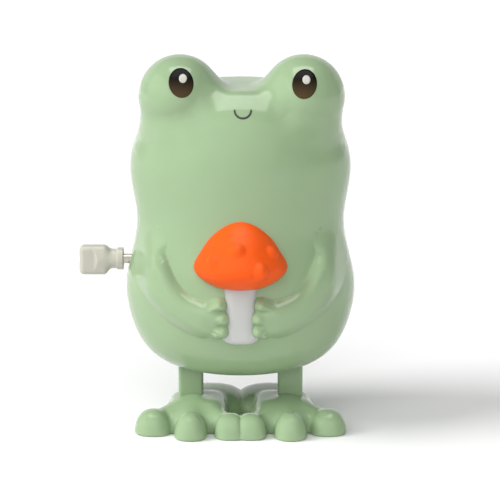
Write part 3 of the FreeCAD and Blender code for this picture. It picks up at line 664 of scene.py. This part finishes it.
def skin(p):
    """Outside of the body with its arms."""
    field = core(p)
    front = (p[..., 1] < ARMS_Y) & (p[..., 2] < ARMS_Z) & (np.abs(field) < ARMS_REACH)
    near = p[front]
    body = field[front]
    relief, inside = arm_relief(near)
    held = smooth_union(body, stem(near), GRIP_FILLET)
    grip = held - relief - GRIP_SLOPE * np.minimum(inside, 0)
    field[front] = smooth_union(body - relief, grip, CREASE)
    return field


# Slots for the legs, and hole for the winding arbor.
SLOT_SIDE_GAP = 0.5
SLOT_HALF_LENGTH = 4.4
SLOT_HALF_HEIGHT = 4.0
SLOT_ROUNDING = 0.5
SLOT_EDGE = 0.35
SHAFT_GAP = 0.35
SHAFT_HOLE_END_X = -10
SHAFT_HOLE_EDGE = 0.25


def leg_slot(p):
    """Slots in the underside, with room for the legs to swing."""
    half = (LEG_HALF_WIDTH + SLOT_SIDE_GAP, SLOT_HALF_LENGTH, SLOT_HALF_HEIGHT)
    return box_field(mirrored(p), (LEG_X, 0, BASE_Z), half, SLOT_ROUNDING)


def shaft_hole(p):
    """Hole for the winding arbor, on the key's side only."""
    off = np.hypot(p[..., 1], p[..., 2] - KEY_Z) - (ARBOR_RADIUS + SHAFT_GAP)
    return np.maximum(off, p[..., 0] - SHAFT_HOLE_END_X)


def shell(p):
    """The hollow body before it is parted into its two halves."""
    wall = np.maximum(skin(p), -(core(p) + WALL))
    wall = smooth_cut(wall, leg_slot(p), SLOT_EDGE)
    return smooth_cut(wall, shaft_hole(p), SHAFT_HOLE_EDGE)


# Groove between the half shells: half its width, and its depth.
SEAM_HALF_GAP = 0.04
SEAM_DEPTH = 0.08


def half_shell(whole, name, sign, node):
    """One half of the shell, cut on y = 0 with a fine groove at the seam, and its rim filled.

    The sign is -1 for the front half and 1 for the back half.
    """
    mesh = bmesh.new()
    mesh.from_mesh(whole.data)
    everything = mesh.verts[:] + mesh.edges[:] + mesh.faces[:]
    bmesh.ops.bisect_plane(mesh, geom=everything, dist=1e-7, plane_co=(0, 0, 0),
                           plane_no=(0, 1, 0), clear_outer=sign < 0, clear_inner=sign > 0)
    mesh.normal_update()
    rim = [edge for edge in mesh.edges if edge.is_boundary]
    corners = {vertex for edge in rim for vertex in edge.verts}
    for vertex in corners:
        vertex.co.y += sign * SEAM_HALF_GAP * MM
    middle = Vector((0, 0, BODY_MIDDLE * MM))
    for vertex in corners:
        if vertex.normal.dot(vertex.co - middle) > 0:
            vertex.co -= vertex.normal * SEAM_DEPTH * MM
    bmesh.ops.triangle_fill(mesh, use_beauty=True, edges=rim)
    bmesh.ops.recalc_face_normals(mesh, faces=mesh.faces[:])
    data = bpy.data.meshes.new(name)
    mesh.to_mesh(data)
    mesh.free()
    data.shade_smooth()
    data.materials.append(green)
    piece = add_object(name, data)
    set_normals(piece, shell, least_match=0.4)
    place_piece(piece, "frog", node)


# Size of the cells that the shell's mesh is made from.
BODY_CELL = 0.36
whole = field_mesh("whole_shell", shell, low=(-23.6, -21.5, 10.5), high=(23.6, 20, 75.5),
                   cell=BODY_CELL, material=green)
half_shell(whole, "front_shell_moulding", -1, "front_shell")
half_shell(whole, "back_shell_moulding", 1, "back_shell")
bpy.data.objects.remove(whole)

cap_piece = field_mesh("mushroom_cap_moulding", cap, low=(-10, -26, 29), high=(10, -14, 45),
                       cell=0.28, material=orange)
set_normals(cap_piece, cap, least_match=0.3)
place_piece(cap_piece, "frog", "mushroom_cap")

stem_piece = field_mesh("mushroom_stem_moulding", seated_stem, low=(-4.5, -21, 19),
                        high=(4.5, -14, 34), cell=0.28, material=stem_white)
set_normals(stem_piece, seated_stem, least_match=0.3)
place_piece(stem_piece, "frog", "mushroom_stem")


# Feet and legs

# Lumps of one foot: centre, radii and boxiness.
INSTEP = ((8.6, -2.6, 0.6), (5.9, 6.4, 4.9), 4.2)
PALM = ((9.4, -6.0, 0.6), (7.2, 6.6, 4.0), 2.6)
HEEL = ((6.2, 5.6, 0.8), (7.6, 8.0, 4.3), 2.5)
FOOT_FILLET = 1.6
HEEL_FILLET = 0.8
# Web that joins the feet: middle, half size and rounding.
WEB = ((0, -1.5, 0.75), (7.0, 9.0, 0.75), 0.3)
WEB_FILLET = 0.8
# The toes' necks start here, taper from one radius to the other, and end behind the tips.
NECK_START = (9.2, -4.0, 2.3)
NECK_RADII = (2.7, 2.3)
NECK_END_Z = 1.8
NECK_SETBACK = 1.0
TOE_FILLET = 0.7
SOLE_EDGE = 0.5
# Toes: x and y of the middle of the tip, half width, half length, height, boxiness.
TOES = [(17.3, -10.8, 3.65, 3.6, 4.75, 2.25), (9.85, -14.1, 3.25, 3.6, 5.0, 2.2),
        (2.0, -13.6, 3.15, 3.4, 4.55, 2.6)]


def lobe(p, centre, radii, power):
    """Rounded lump, boxier than an ellipsoid when the power is above 2."""
    q = p - np.array(centre)
    share = (np.abs(q / np.array(radii)) ** power).sum(axis=-1) ** (1 / power)
    share = np.maximum(share, LEAST_SHARE)
    return np.linalg.norm(q, axis=-1) * (1 - 1 / share)


def feet(p):
    """Both feet: instep, palm and heel a side, three toes on short necks, and a web between."""
    q = mirrored(p)
    field = smooth_union(lobe(q, *INSTEP), lobe(q, *PALM), FOOT_FILLET)
    field = smooth_union(field, lobe(q, *HEEL), HEEL_FILLET)
    for x, y, *_ in TOES:
        neck = round_cone(q, NECK_START, (x, y + NECK_SETBACK, NECK_END_Z), *NECK_RADII)
        field = smooth_union(field, neck, FOOT_FILLET)
    for x, y, half_width, half_length, height, power in TOES:
        toe = lobe(q, (x, y, 0), (half_width, half_length, height), power)
        field = smooth_union(field, toe, TOE_FILLET)
    field = smooth_union(field, box_field(q, *WEB), WEB_FILLET)
    return -smooth_union(-field, p[..., 2], SOLE_EDGE)


feet_piece = field_mesh("feet_moulding", feet, low=(-21.5, -18.5, -0.4), high=(21.5, 14.5, 7),
                        cell=0.33, material=green)
set_normals(feet_piece, feet, least_match=0.2)
place_piece(feet_piece, "feet_and_legs", "feet")

# Legs: the bar, its round head, the window round the crank pin and the bore for the pivot.
BAR_MIDDLE_Z = 10.0
BAR_HALF_DEPTH = 3.0
BAR_HALF_HEIGHT = 7.0
BAR_ROUNDING = 0.65
LEG_HEAD_X = 10.5
LEG_HEAD_HALF_WIDTH = 1.5
LEG_HEAD_RADIUS = 5.2
LEG_HEAD_FILLET = 0.4
WINDOW_RADIUS = 3.5
WINDOW_EDGE = 0.25
PIVOT_RADIUS = 0.95
PIVOT_EDGE = 0.2
# Distances from x = 0 between which a leg is meshed.
LEG_SPAN = (7.2, 12.8)


def leg(p):
    """Bar with softened edges, a round head with the crank's window, and the pivot's bore."""
    q = mirrored(p)
    half = (LEG_HALF_WIDTH, BAR_HALF_DEPTH, BAR_HALF_HEIGHT)
    bar = box_field(q, (LEG_X, 0, BAR_MIDDLE_Z), half, BAR_ROUNDING)
    across = np.hypot(q[..., 1], q[..., 2] - CRANK_Z)
    head = np.maximum(across - LEG_HEAD_RADIUS,
                      np.abs(q[..., 0] - LEG_HEAD_X) - LEG_HEAD_HALF_WIDTH)
    field = smooth_union(bar, head, LEG_HEAD_FILLET)
    field = smooth_cut(field, across - WINDOW_RADIUS, WINDOW_EDGE)
    bore = np.hypot(q[..., 1], q[..., 2] - PIVOT_Z) - PIVOT_RADIUS
    return smooth_cut(field, bore, PIVOT_EDGE)


for side, sign in (("left", -1), ("right", 1)):
    low_x, high_x = sorted(sign * x for x in LEG_SPAN)
    piece = field_mesh(side + "_leg_moulding", leg, low=(low_x, -5.6, 2.6),
                       high=(high_x, 5.6, 26.6), cell=0.25, material=green)
    set_normals(piece, leg, least_match=0.3)
    place_piece(piece, "feet_and_legs", side + "_leg")


# Winding key

PADDLE_DROP = 0.2
PADDLE_PLACE = (-29.35, 0, KEY_Z - PADDLE_DROP)
PADDLE_HALF = (2.85, 1.7, 2.9)
PADDLE_ROUNDING = 0.95
# Collar and its flange: x of both ends, and radius.
COLLAR = (-28.5, -23.5, 1.95)
FLANGE = (-24.6, -23.5, 2.2)
FLANGE_FILLET = 0.4
COLLAR_FILLET = 1.1
ARBOR_BORE_EDGE = 0.15


def knob(p):
    """Rounded paddle that necks into a round collar with a small flange."""
    off_axis = np.hypot(p[..., 1], p[..., 2] - KEY_Z)
    collar, flange = [np.maximum(off_axis - radius, np.maximum(start - p[..., 0], p[..., 0] - end))
                      for start, end, radius in (COLLAR, FLANGE)]
    paddle = box_field(p, PADDLE_PLACE, PADDLE_HALF, PADDLE_ROUNDING)
    field = smooth_union(paddle, smooth_union(collar, flange, FLANGE_FILLET), COLLAR_FILLET)
    return smooth_cut(field, off_axis - ARBOR_RADIUS, ARBOR_BORE_EDGE)


knob_piece = field_mesh("key_knob_moulding", knob, low=(-33, -2.8, 29.5), high=(-23, 2.8, 36.5),
                        cell=0.2, material=ivory)
set_normals(knob_piece, knob, least_match=0.3)
place_piece(knob_piece, "key", "key_knob")


# Printed face: thin skins of ink that follow the shell

# Height of the ink over the shell, and of its rim, which is under the surface.
PRINT_HEIGHT = 0.03
RIM_HEIGHT = -0.05
FACE_X = 0.45
# Eyes: x and z of the middle, and lean in degrees.
EYES = [(-11.38, 69.67, 17.0), (12.27, 69.46, -12.5)]
EYE_HALF_WIDTH = 2.36
EYE_HALF_HEIGHT = 2.72
# Heights in an eye where the ink is dark brown and where it is black.
BROWN_Z = 66.6
BLACK_Z = 70.6
# Glint: x and z from the eye's middle, and half size.
GLINT_OFFSET = (0.35, 0.85)
GLINT_HALF_WIDTH = 0.76
GLINT_HALF_HEIGHT = 0.80
# Mouth: an arc round this height, with its degrees on each side of its lowest point.
MOUTH_Z = 64.65
MOUTH_HALF_WIDTH = 1.58
MOUTH_DEPTH = 1.4
MOUTH_HALF_TURN = 98
MOUTH_POINTS = 41
LINE_HALF_WIDTH = 0.19
# Points over which a line's end is rounded, and the least square of its width's share there.
END_POINTS = 4
LEAST_END = 0.04


def onto_face(x, z, height):
    """Points of the front of the shell at x and z as seen from the front, lifted by a height."""
    points = front_of(skin, x, z, start_y=-24.0, share=0.7, rounds=60)
    slope = gradient(skin, points)
    normal = slope / np.linalg.norm(slope, axis=1, keepdims=True)
    return points + normal * height[:, None]


def ink_disc(name, x, z, half_width, half_height, lean, height, material, rings=10, sectors=48):
    """Oval of ink whose rim dips under the surface."""
    places = [(0.0, 0.0, height)]
    for ring in range(1, rings + 2):
        share = min(ring, rings) / rings
        lift = height if ring <= rings else RIM_HEIGHT
        for sector in range(sectors):
            turn = 2 * math.pi * sector / sectors
            u = half_width * share * math.cos(turn)
            v = half_height * share * math.sin(turn)
            places.append((u, v, lift))
    u, v, lift = np.array(places).T
    tilt = math.radians(lean)
    points = onto_face(x + u * math.cos(tilt) - v * math.sin(tilt),
                       z + u * math.sin(tilt) + v * math.cos(tilt), lift)
    faces = [(0, 1 + sector, 1 + (sector + 1) % sectors) for sector in range(sectors)]
    for ring in range(rings):
        first = 1 + ring * sectors
        for sector in range(sectors):
            after = (sector + 1) % sectors
            faces.append((first + sector, first + sectors + sector, first + sectors + after,
                          first + after))
    piece = add_mesh(name, points, faces, material)
    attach(piece, "frog")


def ink_line(name, path, half_width, height, material):
    """Line of ink along a path of x and z, with round ends."""
    path = np.array(path)
    run = np.gradient(path, axis=0)
    run /= np.linalg.norm(run, axis=1, keepdims=True)
    side = np.stack([run[:, 1], -run[:, 0]], axis=1)
    lanes = [(-1, RIM_HEIGHT), (-1, height), (-0.5, height), (0, height), (0.5, height),
             (1, height), (1, RIM_HEIGHT)]
    count = len(path)
    end = np.sqrt(np.clip(1 - np.linspace(1, 0, END_POINTS) ** 2, LEAST_END, 1))
    taper = np.ones(count)
    taper[:END_POINTS] = end
    taper[-END_POINTS:] = end[::-1]
    rows = []
    lifts = []
    for share, lift in lanes:
        rows.append(path + side * (half_width * share * taper)[:, None])
        lifts.append(np.full(count, lift))
    places = np.concatenate(rows)
    points = onto_face(places[:, 0], places[:, 1], np.concatenate(lifts))
    faces = []
    for lane in range(len(lanes) - 1):
        for i in range(count - 1):
            a = lane * count + i
            faces.append((a, a + 1, a + count + 1, a + count))
    piece = add_mesh(name, points, faces, material)
    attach(piece, "frog")


INK_ROUGHNESS = 0.3
BROWN_INK = (0.080, 0.053, 0.024)
BLACK_INK = (0.006, 0.005, 0.004)


def eye_ink():
    """Near black at the top of the eye, dark brown at the bottom."""
    material = shade("eye_ink", (0.03, 0.025, 0.02), INK_ROUGHNESS, Specular_IOR_Level=0.06)
    nodes = material.node_tree.nodes
    links = material.node_tree.links
    place = nodes.new("ShaderNodeTexCoord")
    split = nodes.new("ShaderNodeSeparateXYZ")
    links.new(place.outputs["Object"], split.inputs[0])
    height = nodes.new("ShaderNodeMapRange")
    height.inputs["From Min"].default_value = BROWN_Z * MM
    height.inputs["From Max"].default_value = BLACK_Z * MM
    links.new(split.outputs["Z"], height.inputs["Value"])
    colour = mixed_colour(material, height.outputs["Result"], BROWN_INK, BLACK_INK)
    links.new(colour, nodes["Principled BSDF"].inputs["Base Color"])
    gloss = spread(material, noise(material, scale=900.0), low=0.16, high=0.26)
    links.new(gloss, nodes["Principled BSDF"].inputs["Roughness"])
    return material


def flat_ink(name, light, dark, roughness):
    """Ink of one colour, with a fine grain."""
    return surface_detail(shade(name, light, INK_ROUGHNESS), (light, dark), roughness,
                          mottle=400.0, grain=6000.0, depth=1e-6)


dark_ink = eye_ink()
line_ink = flat_ink("mouth_ink", (0.02, 0.022, 0.018), (0.035, 0.04, 0.03), (0.28, 0.4))
white_ink = flat_ink("white_ink", (0.47, 0.47, 0.42), (0.44, 0.44, 0.39), (0.24, 0.34))

for number, (x, z, lean) in enumerate(EYES, start=1):
    ink_disc("eye_print_%d" % number, x, z, EYE_HALF_WIDTH, EYE_HALF_HEIGHT, lean, PRINT_HEIGHT,
             dark_ink)
    ink_disc("eye_glint_%d" % number, x + GLINT_OFFSET[0], z + GLINT_OFFSET[1], GLINT_HALF_WIDTH,
             GLINT_HALF_HEIGHT, 0, 2 * PRINT_HEIGHT, white_ink, rings=5, sectors=32)

smile = [(FACE_X + MOUTH_HALF_WIDTH * math.sin(turn), MOUTH_Z - MOUTH_DEPTH * math.cos(turn))
         for turn in np.radians(np.linspace(-MOUTH_HALF_TURN, MOUTH_HALF_TURN, MOUTH_POINTS))]
ink_line("mouth_print", smile, LINE_HALF_WIDTH, PRINT_HEIGHT, line_ink)


# Finishes of the CAD nodes that stay

FINISHES = [
    (acetal_white, ["gearbox_left_plate", "gearbox_right_plate"]),
    (acetal_natural, ["great_wheel", "second_wheel", "crank_pinion", "click_pawl",
                      "ratchet_wheel", "left_crank", "right_crank"]),
    (steel, ["winding_shaft", "second_shaft", "crank_shaft", "leg_pivot_shaft", "spring_post",
             "gearbox_screws", "pivot_washers"]),
    (blued, ["mainspring"]),
]
for material, names in FINISHES:
    for name in names:
        for slot in frame["nodes"][name].material_slots:
            slot.material = material


# Floor, lights and camera

# Half the floor's side in metres, and the strength of the light from all round.
FLOOR_HALF = 6.0
WORLD_LIGHT = 0.36
floor_mesh = bpy.data.meshes.new("floor")
floor_mesh.from_pydata([(x * FLOOR_HALF, y * FLOOR_HALF, 0)
                        for x, y in ((-1, -1), (1, -1), (1, 1), (-1, 1))], [], [(0, 1, 2, 3)])
paper = shade("white_paper", (0.93, 0.93, 0.93), 0.9, Specular_IOR_Level=0.1)
surface_detail(paper, ((0.93, 0.93, 0.93), (0.92, 0.92, 0.92)), (0.85, 0.95), mottle=3.0,
               grain=300.0, depth=1e-5)
floor_mesh.materials.append(paper)
floor = add_object("floor", floor_mesh)

world = bpy.data.worlds.new("studio")
bpy.context.scene.world = world
world.use_nodes = True
world.node_tree.nodes["Background"].inputs["Color"].default_value = (1.0, 1.0, 1.0, 1)
world.node_tree.nodes["Background"].inputs["Strength"].default_value = WORLD_LIGHT

# What the camera and the panels are aimed at, in metres.
MIDDLE = (0, 0, 0.037)


def aim(item, place, target):
    """Put a light or camera somewhere, turned towards a target."""
    item.location = place
    item.rotation_mode = "QUATERNION"
    item.rotation_quaternion = (Vector(target) - Vector(place)).to_track_quat("-Z", "Y")


def softbox(name, place, width, height, radiance):
    """Panel that only shows as a reflection; its radiance is that of the panel's face."""
    light = bpy.data.lights.new(name, "AREA")
    light.shape = "RECTANGLE"
    light.size = width
    light.size_y = height
    light.energy = math.pi * width * height * radiance
    item = add_object(name, light)
    item.visible_diffuse = False
    item.visible_camera = False
    aim(item, place, MIDDLE)


def sun(name, place, degrees, energy):
    """Soft far light that doesn't show as a reflection."""
    light = bpy.data.lights.new(name, "SUN")
    light.angle = math.radians(degrees)
    light.energy = energy
    item = add_object(name, light)
    item.visible_glossy = False
    aim(item, place, (0, 0, 0))


sun("key", (-0.78, -0.20, 0.62), degrees=32, energy=2.65)
sun("fill", (-0.15, -0.80, 0.60), degrees=60, energy=1.55)
softbox("top", (0, -0.03, 0.42), width=0.30, height=0.25, radiance=3.8)
softbox("front", (-0.4, -2.2, 1.15), width=4.4, height=2.3, radiance=0.55)
softbox("left", (-2.4, -0.5, 1.15), width=3.6, height=2.3, radiance=0.60)
softbox("back", (0, 1.2, 0.35), width=3.0, height=0.9, radiance=0.45)

# Lens in millimetres, shift of the picture in widths, and the camera's place in metres.
LENS = 151.2
FRAME_SHIFT = (0.019, -0.0224)
CAMERA_DISTANCE = 0.420
CAMERA_RISE = math.radians(11)
camera = bpy.data.cameras.new("camera")
camera.sensor_width = 36
camera.lens = LENS
camera.shift_x, camera.shift_y = FRAME_SHIFT
camera.clip_start = 0.01
camera.clip_end = 20
camera_item = add_object("camera", camera)
aim(camera_item, (0, -CAMERA_DISTANCE * math.cos(CAMERA_RISE),
                  MIDDLE[2] + CAMERA_DISTANCE * math.sin(CAMERA_RISE)), MIDDLE)
bpy.context.scene.camera = camera_item
bpy.context.scene.view_settings.view_transform = "Standard"
